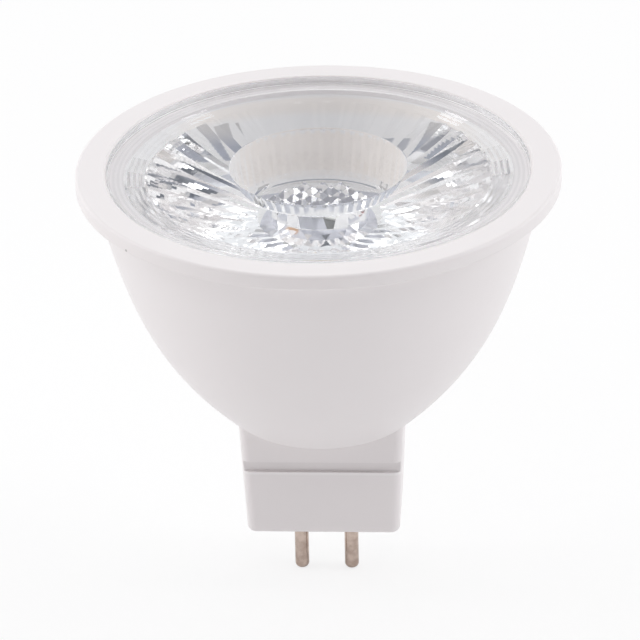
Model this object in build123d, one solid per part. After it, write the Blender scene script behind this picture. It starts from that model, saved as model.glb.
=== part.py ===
from build123d import *
import math
import os

# LED spotlight bulb with a two-pin base, in millimetres and degrees.
# Z = 0 is the underside of the base block, midway between the pins. +Z points out through the lens.

# Housing: rim, bowl and wall
RIM_DIA = 50.0
RIM_HEIGHT = 1.7
RIM_ROUND = 0.35
RIM_LIP = 1.8
SEAT_STEP = 0.12
SEAT_CHAMFER = 0.25
LEDGE_HEIGHT = 1.0
FRONT_Z = 40.7
BOWL_TOP_LEAN = 14.4
BOWL_TOP_PULL = 10.1
BOWL_FOOT_DIA = 19.4
BOWL_FOOT_Z = 12.7
BOWL_FOOT_RISE = 42.2
BOWL_FOOT_PULL = 12.9
BOWL_FOOT_ROUND = 1.2
HOUSING_WALL = 1.3

# Base block below the bowl, with a groove across its two wide faces
BLOCK_FOOT_WIDTH = 16.1
BLOCK_FOOT_DEPTH = 10.6
BLOCK_TOP_WIDTH = 17.4
BLOCK_TOP_DEPTH = 11.3
BLOCK_CORNER = 1.0
BLOCK_FOOT_ROUND = 0.7
BLOCK_WALL = 1.4
BLOCK_FLOOR = 3.0
GROOVE_Z = 7.6
GROOVE_HEIGHT = 1.2
GROOVE_DEPTH = 0.4

# Contact pins
PIN_PITCH = 5.33
PIN_DIA = 1.5
PIN_LENGTH = 7.0
PIN_TIP_ROUND = 0.55
PIN_ROOT_DIA = 2.1
PIN_COLLAR_DIA = 2.7
PIN_COLLAR_HEIGHT = 0.8
PIN_TAIL_WIDTH = 1.8
PIN_TAIL_THICKNESS = 0.8
PIN_TAIL_LENGTH = 3.7
PIN_HOLE_GAP = 0.03

# Lens: flange, ring steps, faceted flank, front well with a diamond floor, and LED cavity
LENS_GAP = 0.1
LENS_HEIGHT = 16.3
FLANGE_HEIGHT = 2.0
FLANGE_SEAT_WIDTH = 1.75
RING_COUNT = 2
RING_RELIEF = 0.3
RING_ZONE_WIDTH = 2.35
FLANK_TOP_DEPTH = 3.0
FLANK_FOOT_DIA = 13.4
FLANK_BULGE = 0.6
FLANK_COLUMNS = 36
FLANK_ROWS = 12
WELL_MOUTH_DIA = 18.2
WELL_DRAFT = 0.7
WELL_DEPTH = 5.5
WELL_FLOOR_ROUND = 0.5
DIAMOND_ZONE_DIA = 14.2
DIAMOND_PITCH = 1.35
DIAMOND_HEIGHT = 0.75
DIAMOND_FLAT = 0.2
DIAMOND_TURN = 45.0
CAVITY_FOOT_DIA = 11.0
CAVITY_ROOF_DIA = 7.6
CAVITY_HEIGHT = 7.2
CAVITY_ROOF_DROP = 1.1

# Heat sink cup and what is stacked on its shelf
SINK_GAP = 0.1
SINK_WALL = 1.0
SHELF_HEIGHT = 1.5
SHELF_LAND = 4.3
PAD_HEIGHT = 0.3
LED_BOARD_HEIGHT = 1.6
LED_BOARD_GAP = 0.25
LENS_FOOT_GAP = 0.05
RIB_COUNT = 6
RIB_WIDTH = 1.2
RIB_SETBACK = 1.0
SCREW_COUNT = 2
SCREW_TURN = 30.0
SCREW_DIA = 1.9
SCREW_HOLE_GAP = 0.05
SCREW_HEAD_DIA = 3.4
SCREW_HEAD_HEIGHT = 1.2
SCREW_SLOT_LENGTH = 2.0
SCREW_SLOT_WIDTH = 0.5
SCREW_SLOT_DEPTH = 0.5

# Light source on the LED board
SUBSTRATE_SIDE = 6.8
SUBSTRATE_HEIGHT = 0.8
DAM_DIA = 6.0
DAM_WIDTH = 0.5
DAM_HEIGHT = 0.4
PHOSPHOR_HEIGHT = 0.3
PHOSPHOR_GAP = 0.02

# Driver board, upright in slots of the base block
DRIVER_THICKNESS = 1.0
DRIVER_PIN_GAP = 0.1
DRIVER_TOP_GAP = 0.7
SLOT_DEPTH = 0.5
SLOT_GAP = 0.1
SLOT_FOOT_GAP = 0.2
SOLDER_GAP = 0.05

# Driver components, kept clear of the pocket's walls and of each other
PART_GAP = 0.5
CAN_WALL_GAP = 0.15
RECTIFIER_WIDTH = 4.0
RECTIFIER_LENGTH = 3.8
RECTIFIER_HEIGHT = 1.1
RECTIFIER_LEGS = 2
CHIP_WIDTH = 3.8
CHIP_LENGTH = 4.9
CHIP_HEIGHT = 1.0
CHIP_LEGS = 4
CHIP_RISE = 5.2
DIODE_WIDTH = 1.8
DIODE_LENGTH = 2.8
DIODE_HEIGHT = 1.0
DIODE_LEGS = 1
OUTPUT_CAP_WIDTH = 2.5
OUTPUT_CAP_LENGTH = 3.2
OUTPUT_CAP_HEIGHT = 0.95
OUTPUT_SPACING = 5.2
OUTPUT_DROP = 2.6
RESISTOR_WIDTH = 3.2
RESISTOR_LENGTH = 1.6
RESISTOR_HEIGHT = 0.6
RESISTOR_SPACING = 7.0
RESISTOR_RISE = 1.4
PACKAGE_CHAMFER = 0.25
LEG_WIDTH = 0.5
LEG_REACH = 0.6
LEG_HEIGHT = 0.35
CAN_LENGTH = 7.0
CAN_CRIMP_DEPTH = 0.2
CAN_CRIMP_HALF = 0.4
CAN_PIN_GAP = 0.3
CAN_LEAD_DIA = 0.5
CAN_LEAD_PITCH = 1.5
CAN_LEAD_DROP = 0.7
CORE_DIA = 5.8
CORE_FLANGE = 0.6
CORE_NECK_DIA = 2.6
CORE_DROP = 3.6
WINDING_DIA = 5.2
WINDING_GAP = 0.05

# Leads from the driver to the LED board
LEAD_DIA = 0.9
LEAD_X = 5.6
LEAD_LAP = 2.4
LEAD_BORE_GAP = 0.75
LEAD_HOLE_GAP = 0.2
LEAD_END_DROP = 0.2
LEAD_BEND = 1.2

# Levels and faces that follow from the sizes above
BOWL_TOP_RADIUS = RIM_DIA / 2 - RIM_LIP
RIM_UNDER_Z = FRONT_Z - RIM_HEIGHT
SEAT_Z = FRONT_Z - FLANGE_HEIGHT
LEDGE_UNDER_Z = SEAT_Z - LEDGE_HEIGHT
LENS_FOOT_Z = FRONT_Z - LENS_HEIGHT
WELL_FLOOR_Z = FRONT_Z - WELL_DEPTH
LED_BOARD_TOP_Z = LENS_FOOT_Z - LENS_FOOT_GAP
LED_BOARD_UNDER_Z = LED_BOARD_TOP_Z - LED_BOARD_HEIGHT
SHELF_TOP_Z = LED_BOARD_UNDER_Z - PAD_HEIGHT
SHELF_UNDER_Z = SHELF_TOP_Z - SHELF_HEIGHT
SINK_OUTER_INSET = HOUSING_WALL + SINK_GAP
SINK_INNER_INSET = SINK_OUTER_INSET + SINK_WALL
POCKET_WIDTH = BLOCK_FOOT_WIDTH - 2 * BLOCK_WALL
POCKET_DEPTH = BLOCK_FOOT_DEPTH - 2 * BLOCK_WALL
DRIVER_FRONT_Y = PIN_TAIL_THICKNESS / 2 + DRIVER_PIN_GAP
DRIVER_BACK_Y = DRIVER_FRONT_Y + DRIVER_THICKNESS
PIN_COLLAR_TOP_Z = BLOCK_FLOOR + PIN_COLLAR_HEIGHT
PIN_TOP_Z = PIN_COLLAR_TOP_Z + PIN_TAIL_LENGTH
DRIVER_FOOT_Z = PIN_COLLAR_TOP_Z + SLOT_FOOT_GAP
DRIVER_TOP_Z = SHELF_UNDER_Z - DRIVER_TOP_GAP
CAN_DIA = POCKET_DEPTH / 2 + DRIVER_FRONT_Y - SOLDER_GAP - CAN_WALL_GAP
CORE_HEIGHT = CAN_DIA
CAN_FOOT_Z = PIN_TOP_Z + CAN_PIN_GAP + CAN_LEAD_DIA / 2 + CAN_LEAD_DROP
FRONT_FACE = Plane(origin=(0, DRIVER_FRONT_Y, 0), x_dir=(1, 0, 0), z_dir=(0, -1, 0))
BACK_FACE = Plane(origin=(0, DRIVER_BACK_Y, 0), x_dir=(-1, 0, 0), z_dir=(0, 1, 0))
STANDING = (Align.CENTER, Align.CENTER, Align.MIN)


# Shared shapes

def rod(diameter, bottom, top):
    """Cylinder about the bulb's axis between two levels."""
    return Pos(0, 0, bottom) * Cylinder(diameter / 2, top - bottom, align=STANDING)


def turn(points):
    """Solid turned about the bulb's axis from an outline of (radius, level) points."""
    outline = Polyline(*[(radius, 0, level) for radius, level in points], close=True)
    return revolve(make_face(outline), Axis.Z)


def bowl_poles(inset):
    """Four poles of the bowl's curve, rim to foot, moved inwards by inset."""
    lean = math.radians(BOWL_TOP_LEAN)
    rise = math.radians(BOWL_FOOT_RISE)
    top_inward = Vector(-math.cos(lean), 0, math.sin(lean))
    foot_inward = Vector(-math.sin(rise), 0, math.cos(rise))
    top = Vector(BOWL_TOP_RADIUS, 0, RIM_UNDER_Z) + top_inward * inset
    foot = Vector(BOWL_FOOT_DIA / 2, 0, BOWL_FOOT_Z) + foot_inward * inset
    below_top = top + Vector(-math.sin(lean), 0, -math.cos(lean)) * BOWL_TOP_PULL
    above_foot = foot + Vector(math.cos(rise), 0, math.sin(rise)) * BOWL_FOOT_PULL
    return [top, below_top, above_foot, foot]


def bowl_radius(level, inset):
    """Radius of the bowl's curve, moved inwards by inset, at one level."""
    curve = Bezier(*bowl_poles(inset))
    low, high = 0.0, 1.0
    for _ in range(40):
        middle = (low + high) / 2
        if (curve @ middle).Z > level:
            low = middle
        else:
            high = middle
    return (curve @ low).X


def bowl_solid(inset):
    """Everything inside the bowl's curve moved inwards by inset, from its foot to its rim."""
    top, below_top, above_foot, foot = bowl_poles(inset)
    side = Bezier(top, below_top, above_foot, foot)
    rest = Polyline(foot, (0, 0, foot.Z), (0, 0, top.Z), top)
    return revolve(make_face([side, rest]), Axis.Z)


def seat_radius():
    """Radius of the lens seat, a small step outside the bowl's inner face."""
    return bowl_radius(SEAT_Z, HOUSING_WALL) + SEAT_STEP


def stack_diameter():
    """Diameter of the pieces that lie on the shelf, clear of the cup's wall."""
    return 2 * (bowl_radius(SHELF_TOP_Z, SINK_INNER_INSET) - LED_BOARD_GAP)


def shelf_bore():
    """Diameter of the hole that leaves the shelf its land."""
    return stack_diameter() - 2 * SHELF_LAND


def pin_places():
    """Places of the left and right pins."""
    return [Pos(-PIN_PITCH / 2, 0, 0), Pos(PIN_PITCH / 2, 0, 0)]


def screw_places():
    """Places of the LED board's screws, in the middle of the shelf's land, first one behind the axis."""
    return PolarLocations((stack_diameter() - SHELF_LAND) / 2, SCREW_COUNT, start_angle=SCREW_TURN)


def lead_radius():
    """Distance of the leads from the axis where they come up through the shelf's bore."""
    return (shelf_bore() - LEAD_DIA) / 2 - LEAD_BORE_GAP


# Housing

def base_block():
    """Tapered block with rounded edges, grooves and the driver's pocket still filled."""
    root_z = BOWL_FOOT_Z + HOUSING_WALL / 2
    foot = RectangleRounded(BLOCK_FOOT_WIDTH, BLOCK_FOOT_DEPTH, BLOCK_CORNER)
    root = Pos(0, 0, root_z) * RectangleRounded(BLOCK_TOP_WIDTH, BLOCK_TOP_DEPTH, BLOCK_CORNER)
    block = loft([foot, root])
    block = fillet(block.edges().group_by(Axis.Z)[0], BLOCK_FOOT_ROUND)
    share = (GROOVE_Z + GROOVE_HEIGHT / 2) / root_z
    depth_there = BLOCK_FOOT_DEPTH + (BLOCK_TOP_DEPTH - BLOCK_FOOT_DEPTH) * share
    groove = Box(2 * BLOCK_TOP_WIDTH, 2 * GROOVE_DEPTH, GROOVE_HEIGHT, align=STANDING)
    for side in (-1, 1):
        block -= Pos(0, side * depth_there / 2, GROOVE_Z) * groove
    return block


def driver_pocket():
    """Hollow of the base block, with a slot at each end for the driver board."""
    top_z = BOWL_FOOT_Z + 2 * HOUSING_WALL
    pocket = Box(POCKET_WIDTH, POCKET_DEPTH, top_z - BLOCK_FLOOR, align=STANDING)
    slot_width = POCKET_WIDTH + 2 * SLOT_DEPTH
    slot_depth = DRIVER_THICKNESS + 2 * SLOT_GAP
    slots = Box(slot_width, slot_depth, top_z - DRIVER_FOOT_Z, align=STANDING)
    middle_y = (DRIVER_FRONT_Y + DRIVER_BACK_Y) / 2
    return Pos(0, 0, BLOCK_FLOOR) * pocket + Pos(0, middle_y, DRIVER_FOOT_Z) * slots


def lens_ledge():
    """Ring inside the bowl on which the lens's flange lies."""
    outer = bowl_radius(LEDGE_UNDER_Z, HOUSING_WALL / 2)
    inner = seat_radius() - LENS_GAP - FLANGE_SEAT_WIDTH
    return rod(2 * outer, LEDGE_UNDER_Z, SEAT_Z) - rod(2 * inner, LEDGE_UNDER_Z, SEAT_Z)


def sink_ribs(hollow):
    """Upright ribs in the bowl that carry the heat sink's shelf."""
    inner = shelf_bore() / 2 + RIB_SETBACK
    length = BOWL_TOP_RADIUS - inner
    outwards = (Align.MIN, Align.CENTER, Align.MIN)
    rib = Box(length, RIB_WIDTH, SHELF_UNDER_Z - BOWL_FOOT_Z, align=outwards)
    ribs = PolarLocations(inner, RIB_COUNT, start_angle=180 / RIB_COUNT) * rib
    return Pos(0, 0, BOWL_FOOT_Z) * Compound(ribs) & hollow


def make_housing():
    """White moulding: rim, bowl and base block in one piece."""
    rim = rod(RIM_DIA, RIM_UNDER_Z, FRONT_Z)
    rim = fillet(rim.edges().filter_by(GeomType.CIRCLE), RIM_ROUND)
    hollow = bowl_solid(HOUSING_WALL)
    bowl = bowl_solid(0)
    bowl = fillet(bowl.edges().group_by(Axis.Z)[0], BOWL_FOOT_ROUND)
    body = bowl + rim + base_block()
    body -= hollow + driver_pocket()
    body += lens_ledge()
    body -= rod(2 * seat_radius(), SEAT_Z, FRONT_Z)
    mouth = body.edges().filter_by(GeomType.CIRCLE).group_by(Axis.Z)[-1].sort_by(SortBy.RADIUS)[0]
    body = chamfer(mouth, SEAT_CHAMFER)
    pin_hole = rod(PIN_ROOT_DIA + 2 * PIN_HOLE_GAP, 0, BLOCK_FLOOR)
    for place in pin_places():
        body -= place * pin_hole
    return body + sink_ribs(hollow)


def make_contact_pin(place):
    """Round pin: rounded tip, thicker root in the block's floor, collar, and flattened tail for the board."""
    shank = rod(PIN_DIA, -PIN_LENGTH, 0)
    shank = fillet(shank.edges().group_by(Axis.Z)[0], PIN_TIP_ROUND)
    root = rod(PIN_ROOT_DIA, 0, BLOCK_FLOOR)
    collar = rod(PIN_COLLAR_DIA, BLOCK_FLOOR, PIN_COLLAR_TOP_Z)
    tail = Box(PIN_TAIL_WIDTH, PIN_TAIL_THICKNESS, PIN_TAIL_LENGTH, align=STANDING)
    return place * (shank + root + collar + Pos(0, 0, PIN_COLLAR_TOP_Z) * tail)


# Lens

def flange_radii():
    """Radii of the flange's edge, of its seat's inner side, and of the flank's top."""
    edge = seat_radius() - LENS_GAP
    seat_inner = edge - FLANGE_SEAT_WIDTH
    return edge, seat_inner, seat_inner - RING_ZONE_WIDTH


def flank_rows():
    """(radius, level) of each edge ring of the faceted flank, foot to top."""
    foot = Vector(FLANK_FOOT_DIA / 2, LENS_FOOT_Z)
    top = Vector(flange_radii()[-1], FRONT_Z - FLANK_TOP_DEPTH)
    chord = top - foot
    outward = Vector(chord.Y, -chord.X).normalized()
    rows = []
    for row in range(FLANK_ROWS + 1):
        share = row / FLANK_ROWS
        point = foot + chord * share + outward * (4 * FLANK_BULGE * share * (1 - share))
        rows.append((point.X, point.Y))
    return rows


def flange_outline():
    """Outline of the flange: flat front, seat at the edge, ring steps down to the flank."""
    edge, seat_inner, flank_top = flange_radii()
    flank_z = FRONT_Z - FLANK_TOP_DEPTH
    points = [(0, FRONT_Z), (edge, FRONT_Z), (edge, SEAT_Z), (seat_inner, SEAT_Z)]
    for ring in range(RING_COUNT):
        near = seat_inner + (flank_top - seat_inner) * (ring + 0.5) / RING_COUNT
        far = seat_inner + (flank_top - seat_inner) * (ring + 1) / RING_COUNT
        level = SEAT_Z + (flank_z - SEAT_Z) * (ring + 1) / RING_COUNT
        points += [(near, level + RING_RELIEF), (far, level)]
    return points + [(0, flank_z)]


def diamond_floor():
    """Field of small pyramids, left standing between two crossed sets of V grooves."""
    field = rod(DIAMOND_ZONE_DIA, WELL_FLOOR_Z - DIAMOND_HEIGHT, WELL_FLOOR_Z + DIAMOND_HEIGHT)
    half = (DIAMOND_PITCH - DIAMOND_FLAT) / 2
    crest = WELL_FLOOR_Z + DIAMOND_HEIGHT
    outline = Polyline((-half, 0, crest), (half, 0, crest), (0, 0, WELL_FLOOR_Z), close=True)
    groove = extrude(make_face(outline), DIAMOND_ZONE_DIA, both=True)
    reach = math.ceil(DIAMOND_ZONE_DIA / 2 / DIAMOND_PITCH)
    for turned in (DIAMOND_TURN, DIAMOND_TURN + 90):
        for step in range(-reach, reach + 1):
            field -= Rot(0, 0, turned) * Pos(step * DIAMOND_PITCH, 0, 0) * groove
    return field


def led_cavity():
    """Hollow over the light source: drafted wall and a convex roof."""
    foot = CAVITY_FOOT_DIA / 2
    roof = CAVITY_ROOF_DIA / 2
    roof_z = LENS_FOOT_Z + CAVITY_HEIGHT
    ball = (roof ** 2 + CAVITY_ROOF_DROP ** 2) / (2 * CAVITY_ROOF_DROP)
    hollow = Pos(0, 0, LENS_FOOT_Z) * Cone(foot, roof, CAVITY_HEIGHT, align=STANDING)
    return hollow - Pos(0, 0, roof_z - CAVITY_ROOF_DROP + ball) * Sphere(ball)


def make_lens():
    """Clear moulding that gathers the light: flat front, faceted flank, well and LED cavity."""
    rows = [Pos(0, 0, level) * RegularPolygon(radius, FLANK_COLUMNS) for radius, level in flank_rows()]
    body = loft(rows, ruled=True) + turn(flange_outline())
    mouth = WELL_MOUTH_DIA / 2
    well = Pos(0, 0, WELL_FLOOR_Z) * Cone(mouth - WELL_DRAFT, mouth, WELL_DEPTH, align=STANDING)
    well = fillet(well.edges().group_by(Axis.Z)[0], WELL_FLOOR_ROUND)
    return body - well - led_cavity() + diamond_floor()


# Heat sink and the stack on its shelf

def make_heat_sink():
    """Pressed cup that lines the bowl, with a shelf for the LED board."""
    outside = bowl_solid(SINK_OUTER_INSET)
    cup = (outside - bowl_solid(SINK_INNER_INSET)) & rod(RIM_DIA, SHELF_UNDER_Z, LEDGE_UNDER_Z)
    shelf = outside & rod(RIM_DIA, SHELF_UNDER_Z, SHELF_TOP_Z)
    sink = cup + shelf - rod(shelf_bore(), SHELF_UNDER_Z, SHELF_TOP_Z)
    return sink - screw_places() * rod(SCREW_DIA + 2 * SCREW_HOLE_GAP, SHELF_UNDER_Z, SHELF_TOP_Z)


def make_thermal_pad():
    """Soft ring between the shelf and the LED board."""
    ring = rod(stack_diameter(), SHELF_TOP_Z, LED_BOARD_UNDER_Z)
    ring -= rod(shelf_bore(), SHELF_TOP_Z, LED_BOARD_UNDER_Z)
    return ring - screw_places() * rod(SCREW_DIA + 2 * SCREW_HOLE_GAP, SHELF_TOP_Z, LED_BOARD_UNDER_Z)


def make_led_board():
    """Round metal-core board with holes for its screws and leads."""
    board = rod(stack_diameter(), LED_BOARD_UNDER_Z, LED_BOARD_TOP_Z)
    screw_hole = rod(SCREW_DIA + 2 * SCREW_HOLE_GAP, LED_BOARD_UNDER_Z, LED_BOARD_TOP_Z)
    lead_hole = rod(LEAD_DIA + 2 * LEAD_HOLE_GAP, LED_BOARD_UNDER_Z, LED_BOARD_TOP_Z)
    for side in (-1, 1):
        board -= Pos(side * lead_radius(), 0, 0) * lead_hole
    return board - screw_places() * screw_hole


def make_board_screws():
    """Pan-head screws with a cross recess."""
    head_top = LED_BOARD_TOP_Z + SCREW_HEAD_HEIGHT
    head = rod(SCREW_HEAD_DIA, LED_BOARD_TOP_Z, head_top)
    head = fillet(head.edges().group_by(Axis.Z)[-1], SCREW_HEAD_HEIGHT / 2)
    slot = Box(SCREW_SLOT_LENGTH, SCREW_SLOT_WIDTH, 2 * SCREW_SLOT_DEPTH)
    for turned in (0, 90):
        head -= Pos(0, 0, head_top) * Rot(0, 0, turned) * slot
    return Compound(screw_places() * (head + rod(SCREW_DIA, SHELF_UNDER_Z, LED_BOARD_TOP_Z)))


def make_led_substrate():
    """Square ceramic carrier of the light source."""
    plate = Box(SUBSTRATE_SIDE, SUBSTRATE_SIDE, SUBSTRATE_HEIGHT, align=STANDING)
    return Pos(0, 0, LED_BOARD_TOP_Z) * plate


def make_led_dam():
    """Ring that holds the phosphor in place."""
    foot_z = LED_BOARD_TOP_Z + SUBSTRATE_HEIGHT
    inner = DAM_DIA - 2 * DAM_WIDTH
    return rod(DAM_DIA, foot_z, foot_z + DAM_HEIGHT) - rod(inner, foot_z, foot_z + DAM_HEIGHT)


def make_led_phosphor():
    """Disc of phosphor inside the dam."""
    foot_z = LED_BOARD_TOP_Z + SUBSTRATE_HEIGHT
    return rod(DAM_DIA - 2 * DAM_WIDTH - 2 * PHOSPHOR_GAP, foot_z, foot_z + PHOSPHOR_HEIGHT)


def make_led_lead(side):
    """Lead soldered to the driver's back face, bent outwards and up into the LED board."""
    y = DRIVER_BACK_Y + SOLDER_GAP + LEAD_DIA / 2
    run_z = (DRIVER_TOP_Z + LED_BOARD_UNDER_Z) / 2
    end_x = side * lead_radius()
    corners = [
        (side * LEAD_X, y, DRIVER_TOP_Z - LEAD_LAP),
        (side * LEAD_X, y, run_z),
        (end_x, 0, run_z),
        (end_x, 0, LED_BOARD_TOP_Z - LEAD_END_DROP),
    ]
    path = FilletPolyline(*corners, radius=LEAD_BEND)
    return sweep(Plane(path @ 0, z_dir=path % 0) * Circle(LEAD_DIA / 2), path)


# Driver

def make_driver_board():
    """Upright circuit board whose edges run in the pocket's slots."""
    width = POCKET_WIDTH + 2 * (SLOT_DEPTH - SLOT_GAP)
    middle_y = (DRIVER_FRONT_Y + DRIVER_BACK_Y) / 2
    board = Box(width, DRIVER_THICKNESS, DRIVER_TOP_Z - DRIVER_FOOT_Z, align=STANDING)
    return Pos(0, middle_y, DRIVER_FOOT_Z) * board


def package(width, length, height, legs_each_side):
    """Moulded component body with legs along its two long sides, standing on the board."""
    body = Box(width, length, height, align=STANDING)
    body = chamfer(body.faces().sort_by(Axis.Z)[-1].edges(), PACKAGE_CHAMFER)
    leg = Box(width + 2 * LEG_REACH, LEG_WIDTH, LEG_HEIGHT, align=STANDING)
    for place in GridLocations(0, length / legs_each_side, 1, legs_each_side):
        body += place * leg
    return body


def pocket_side(side, width):
    """Place along X of a component set against the pocket's left (-1) or right (1) wall."""
    return side * (POCKET_WIDTH / 2 - width / 2 - PART_GAP)


def on_front(x, z, shape):
    """Shape moved from the XY plane to the driver board's front face."""
    return FRONT_FACE * Pos(x, z, SOLDER_GAP) * shape


def on_back(x, z, shape):
    """Shape moved from the XY plane to the driver board's back face."""
    return BACK_FACE * Pos(-x, z, SOLDER_GAP) * shape


def make_rectifier():
    """Flat bridge rectifier beside the chip."""
    body = package(RECTIFIER_WIDTH, RECTIFIER_LENGTH, RECTIFIER_HEIGHT, RECTIFIER_LEGS)
    x = pocket_side(1, RECTIFIER_WIDTH + 2 * LEG_REACH)
    return on_back(x, DRIVER_FOOT_Z + CHIP_RISE, body)


def make_driver_chip():
    """Switching regulator in a flat package."""
    body = package(CHIP_WIDTH, CHIP_LENGTH, CHIP_HEIGHT, CHIP_LEGS)
    x = pocket_side(-1, CHIP_WIDTH + 2 * LEG_REACH)
    return on_back(x, DRIVER_FOOT_Z + CHIP_RISE, body)


def make_freewheel_diode():
    """Flat diode near the board's top."""
    body = package(DIODE_WIDTH, DIODE_LENGTH, DIODE_HEIGHT, DIODE_LEGS)
    return on_back(OUTPUT_SPACING / 2, DRIVER_TOP_Z - OUTPUT_DROP, body)


def make_bulk_capacitor():
    """Round can with a crimped neck, lying along the board on two bent leads."""
    radius = CAN_DIA / 2
    neck = radius - CAN_CRIMP_DEPTH
    can = turn([
        (0, 0),
        (radius, 0),
        (radius, CAN_CRIMP_HALF),
        (neck, 2 * CAN_CRIMP_HALF),
        (radius, 3 * CAN_CRIMP_HALF),
        (radius, CAN_LENGTH),
        (0, CAN_LENGTH),
    ])
    can = fillet(can.edges().group_by(Axis.Z)[-1], CAN_CRIMP_DEPTH)
    for side in (-1, 1):
        start = Vector(side * CAN_LEAD_PITCH / 2, 0, CAN_CRIMP_DEPTH)
        corner = Vector(start.X, 0, -CAN_LEAD_DROP)
        path = FilletPolyline(start, corner, Vector(start.X, radius, corner.Z), radius=CAN_LEAD_DIA)
        can += sweep(Plane(start, z_dir=path % 0) * Circle(CAN_LEAD_DIA / 2), path)
    return Pos(pocket_side(-1, CAN_DIA), DRIVER_FRONT_Y - SOLDER_GAP - radius, CAN_FOOT_Z) * can


def on_core_place(shape):
    """Shape moved from the XY plane to the inductor's place on the board."""
    return on_front(pocket_side(1, CORE_DIA), DRIVER_TOP_Z - CORE_DROP, shape)


def make_inductor_core():
    """Ferrite drum: two flanges and a neck."""
    neck = Cylinder(CORE_NECK_DIA / 2, CORE_HEIGHT, align=STANDING)
    flange = Cylinder(CORE_DIA / 2, CORE_FLANGE, align=STANDING)
    return on_core_place(neck + flange + Pos(0, 0, CORE_HEIGHT - CORE_FLANGE) * flange)


def make_inductor_winding():
    """Copper winding that fills the drum between its flanges."""
    foot = CORE_FLANGE + WINDING_GAP
    height = CORE_HEIGHT - 2 * foot
    ring = Cylinder(WINDING_DIA / 2, height, align=STANDING)
    ring -= Cylinder(CORE_NECK_DIA / 2 + WINDING_GAP, height, align=STANDING)
    return on_core_place(Pos(0, 0, foot) * ring)


def make_sense_resistors():
    """Pair of chip resistors side by side on the board's back face."""
    chip = Box(RESISTOR_WIDTH, RESISTOR_LENGTH, RESISTOR_HEIGHT, align=STANDING)
    level = DRIVER_FOOT_Z + RESISTOR_RISE
    return Compound([on_back(side * RESISTOR_SPACING / 2, level, chip) for side in (-1, 1)])


def make_output_capacitor():
    """Ceramic chip capacitor."""
    chip = Box(OUTPUT_CAP_WIDTH, OUTPUT_CAP_LENGTH, OUTPUT_CAP_HEIGHT, align=STANDING)
    return on_back(-OUTPUT_SPACING / 2, DRIVER_TOP_Z - OUTPUT_DROP, chip)


left_pin, right_pin = pin_places()
nodes = {
    "housing": make_housing(),
    "lens": make_lens(),
    "contact_pin_left": make_contact_pin(left_pin),
    "contact_pin_right": make_contact_pin(right_pin),
    "heat_sink": make_heat_sink(),
    "thermal_pad": make_thermal_pad(),
    "led_board": make_led_board(),
    "led_substrate": make_led_substrate(),
    "led_dam": make_led_dam(),
    "led_phosphor": make_led_phosphor(),
    "board_screws": make_board_screws(),
    "led_lead_positive": make_led_lead(1),
    "led_lead_negative": make_led_lead(-1),
    "driver_board": make_driver_board(),
    "rectifier": make_rectifier(),
    "bulk_capacitor": make_bulk_capacitor(),
    "inductor_core": make_inductor_core(),
    "inductor_winding": make_inductor_winding(),
    "driver_chip": make_driver_chip(),
    "freewheel_diode": make_freewheel_diode(),
    "output_capacitor": make_output_capacitor(),
    "sense_resistors": make_sense_resistors(),
}

os.makedirs("parts", exist_ok=True)
for name, shape in nodes.items():
    export_step(shape, f"parts/{name}.step")
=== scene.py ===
import math
import random
from typing import NamedTuple

import bmesh
import bpy
from bpy.props import FloatProperty, FloatVectorProperty, IntProperty, PointerProperty
from mathutils import Matrix, Vector


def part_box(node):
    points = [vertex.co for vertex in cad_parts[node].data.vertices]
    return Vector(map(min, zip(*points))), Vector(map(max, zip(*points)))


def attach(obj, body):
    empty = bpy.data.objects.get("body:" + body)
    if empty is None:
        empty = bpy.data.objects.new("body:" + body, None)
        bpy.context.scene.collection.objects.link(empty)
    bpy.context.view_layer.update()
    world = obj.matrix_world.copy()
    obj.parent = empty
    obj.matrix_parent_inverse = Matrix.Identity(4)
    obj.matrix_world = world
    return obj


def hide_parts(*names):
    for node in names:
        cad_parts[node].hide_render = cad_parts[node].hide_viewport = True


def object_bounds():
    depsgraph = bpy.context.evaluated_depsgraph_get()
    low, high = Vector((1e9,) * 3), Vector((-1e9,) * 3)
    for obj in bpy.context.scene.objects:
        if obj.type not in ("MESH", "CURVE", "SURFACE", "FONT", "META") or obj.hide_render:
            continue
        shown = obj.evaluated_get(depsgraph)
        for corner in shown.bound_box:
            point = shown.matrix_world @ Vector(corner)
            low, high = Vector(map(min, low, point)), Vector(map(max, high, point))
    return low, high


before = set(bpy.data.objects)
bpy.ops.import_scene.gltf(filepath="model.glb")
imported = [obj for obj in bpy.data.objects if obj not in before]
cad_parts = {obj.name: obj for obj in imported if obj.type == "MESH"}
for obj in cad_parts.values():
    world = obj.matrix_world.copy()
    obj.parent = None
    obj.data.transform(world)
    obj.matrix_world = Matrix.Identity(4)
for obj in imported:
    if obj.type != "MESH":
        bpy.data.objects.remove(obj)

bl_info = {
    "name": "LED Spotlight Bulb",
    "version": (1, 0, 0),
    "blender": (4, 5, 0),
    "location": "3D View > Sidebar > Spot Bulb",
    "description":
        "Dresses the packed bulb with fine meshes and finishes, and sets its studio stage",
    "category": "Object",
}

MM = 0.001
CAD_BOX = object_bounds()
LENS_LOW, LENS_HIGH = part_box("lens")


def mm(*lengths):
    """Lengths in millimetres, as a tuple in metres."""
    return tuple(MM * length for length in lengths)


# Sizes and colours that a user would change

class HousingSettings(bpy.types.PropertyGroup):
    colour: FloatVectorProperty(
        name="Colour", description="Colour of the white moulding", subtype="COLOR",
        size=4, min=0, max=1, default=(0.805, 0.772, 0.77, 1))
    roughness: FloatProperty(
        name="Roughness", description="Mean roughness of the moulded skin",
        subtype="FACTOR", min=0, max=1, default=0.42)


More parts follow.
